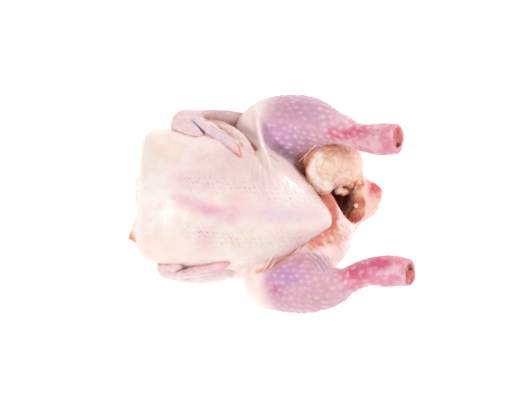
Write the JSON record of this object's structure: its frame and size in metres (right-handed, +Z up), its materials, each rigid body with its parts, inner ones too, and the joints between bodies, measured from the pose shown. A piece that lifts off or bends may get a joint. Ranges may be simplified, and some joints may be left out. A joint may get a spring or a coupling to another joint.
{
  "type": "whole raw chicken",
  "caption": "Whole raw chicken, plucked and drawn, on its back, with folded wings, raised cut drumsticks, an open belly cavity and a tail.",
  "frame": {"origin": "on the surface that the bird lies on, under the middle of its bounding box", "axes": "+Z up out of the breast, +X from the neck end to the tail and the cut ends of the legs, +Y to the bird's left side"},
  "size_m": [0.2565, 0.1948, 0.104],
  "materials": {
    "raw_skin": "moist, pale pink skin over flesh"
  },
  "bodies": {
    "root": {"chicken": "raw_skin"}
  },
  "joints": []
}
